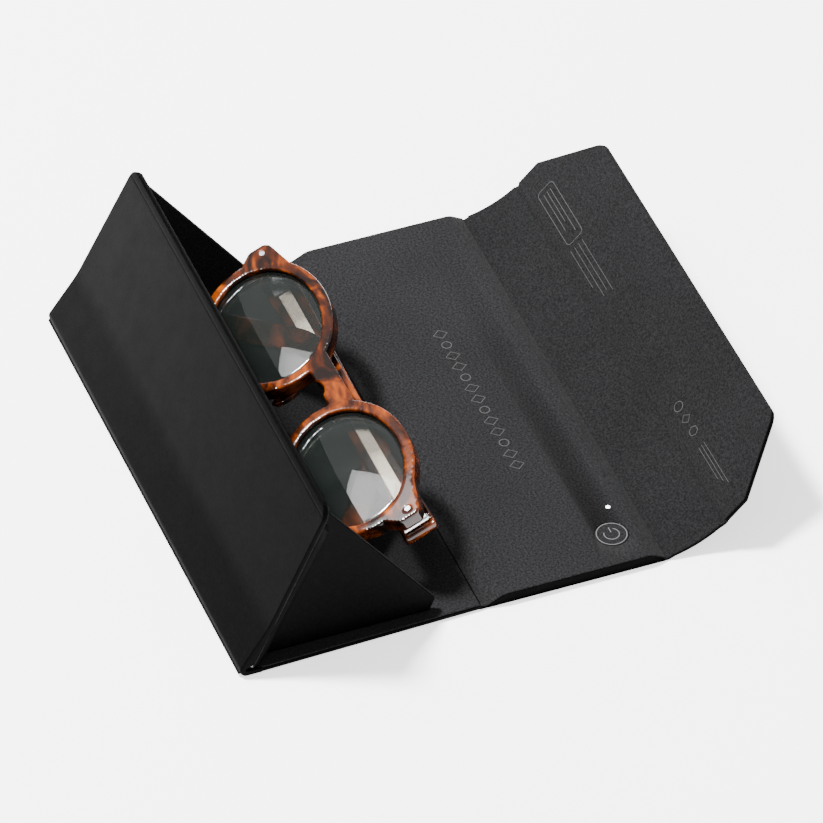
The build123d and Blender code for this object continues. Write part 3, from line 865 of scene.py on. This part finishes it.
def make_core_strip(side, name):
    """Metal core that shows in the face of a folded temple that lies towards the lenses."""
    place = Vector(joints[f"{name}_temple_fold"]["pos_m"]) / MM
    swing = radians(1.5)
    sunk = 1.0                  # the strip's face lies this far behind the hinge's axis
    along = Vector((-side * cos(swing), 0, 0)) + front_out * (side * sin(swing))
    face = front_out * cos(swing) + Vector((sin(swing), 0, 0))

    def on_temple(u, v, h):
        return place + along * u + front_up * v + face * (h - sunk)

    start, end, wide, narrow = 9, 76, 2.1, 1.7
    corners = [(start, -wide), (end, -narrow), (end, narrow), (start, wide)]
    if side > 0:
        corners = [(u, -v) for u, v in corners][::-1]
    slab(f"{name}_core_strip", corners, [0.9] * 4, on_temple, -0.3, 0.06, 0.08, satin_core,
         f"{name}_arm")


def make_rest():
    """Felt-covered card under the glasses."""
    low, high = box_mm("glasses_rest")
    path = [(low.y, 0), ((low.y + high.y) / 2, 0), (high.y, 0)]
    ribbon("rest_felt", path, high.x, low.z, high.z, felt, "rest", ["glasses_rest"], edge=0.3)


def make_glasses():
    fine, finer = 0.42, 0.3
    soften("front_frame", "front_acetate", fine, 7, tortoise, "glasses")
    make_rest()
    for side, name in SIDES:
        soften(f"{name}_temple", f"{name}_temple_acetate", fine, 5, tortoise, f"{name}_arm")
        soften(f"{name}_nose_pad", f"{name}_pad_acetate", finer, 6, tortoise, "glasses")
        make_core_strip(side, name)
        make_lens(name, *box_mm(f"{name}_lens"))


# ------------------------------------------------------------------ CAD nodes that stay
def finish_cad_nodes():
    """Every CAD node gets its slot's material, whether a visual piece replaces it or not."""
    looks = {
        "black_leather": leather, "grey_board": grey_board, "charcoal_felt": felt,
        "bright_steel": steel, "black_plastic": black_plastic, "green_laminate": laminate,
        "foil": foil, "copper": copper, "ferrite": ferrite, "light_pipe": white_light,
        "clear_lens": glass, "tortoiseshell": tortoise,
    }
    slots = {part["node"]: part["material_slot"] for part in frame["record"]["subparts"]}
    for name, node in frame["nodes"].items():
        node.data.materials.clear()
        node.data.materials.append(looks[slots[name]])


# ------------------------------------------------------------------ floor and light
def make_lamp(name, place, size, power):
    """Rectangular area light that faces the case."""
    aim = Vector((0, 0.05, 0))
    data = bpy.data.lights.new(name, "AREA")
    data.shape = "RECTANGLE"
    data.size, data.size_y = size
    data.energy = power
    obj = bpy.data.objects.new(name, data)
    obj.location = place
    obj.rotation_mode = "QUATERNION"
    obj.rotation_quaternion = (aim - Vector(place)).to_track_quat("-Z", "Y")
    bpy.context.scene.collection.objects.link(obj)


def make_stage():
    """A plain floor that shines a little, an even white surround and two soft lights."""
    floor = bpy.data.objects.new("floor", bpy.data.meshes.new("floor"))
    half, below = 6, 0.0002     # metres
    corners = [(-half, -half, 0), (half, -half, 0), (half, half, 0), (-half, half, 0)]
    floor.data.from_pydata(corners, [], [(0, 1, 2, 3)])
    floor.location.z = -below
    bpy.context.scene.collection.objects.link(floor)
    m = Nodes("pale_floor")
    m.put(Roughness=0.8, Specular_IOR_Level=0.1, Emission_Color=(1, 1, 1, 1), Emission_Strength=1.5)
    m.colour(m.ramp(m.noise(3, detail=1), (0.3, (0.93, 0.93, 0.93)), (0.7, (0.95, 0.95, 0.95))))
    floor.data.materials.append(m.material)
    world = bpy.data.worlds.new("studio")
    bpy.context.scene.world = world
    world.use_nodes = True
    background = world.node_tree.nodes["Background"]
    background.inputs["Color"].default_value = (1, 1, 1, 1)
    background.inputs["Strength"].default_value = 0.95
    make_lamp("key_light", (-0.75, -0.8, 2.1), (0.4, 0.4), 260)
    make_lamp("soft_box", (-0.25, -0.2, 0.44), (0.16, 0.12), 0.8)


make_base()
make_wall()
for side, name in SIDES:
    make_gusset(side, name)
make_lid()
make_lid_prints()
make_spine()
make_flap()
make_flap_prints()
make_folds()
make_glasses()
finish_cad_nodes()
make_stage()
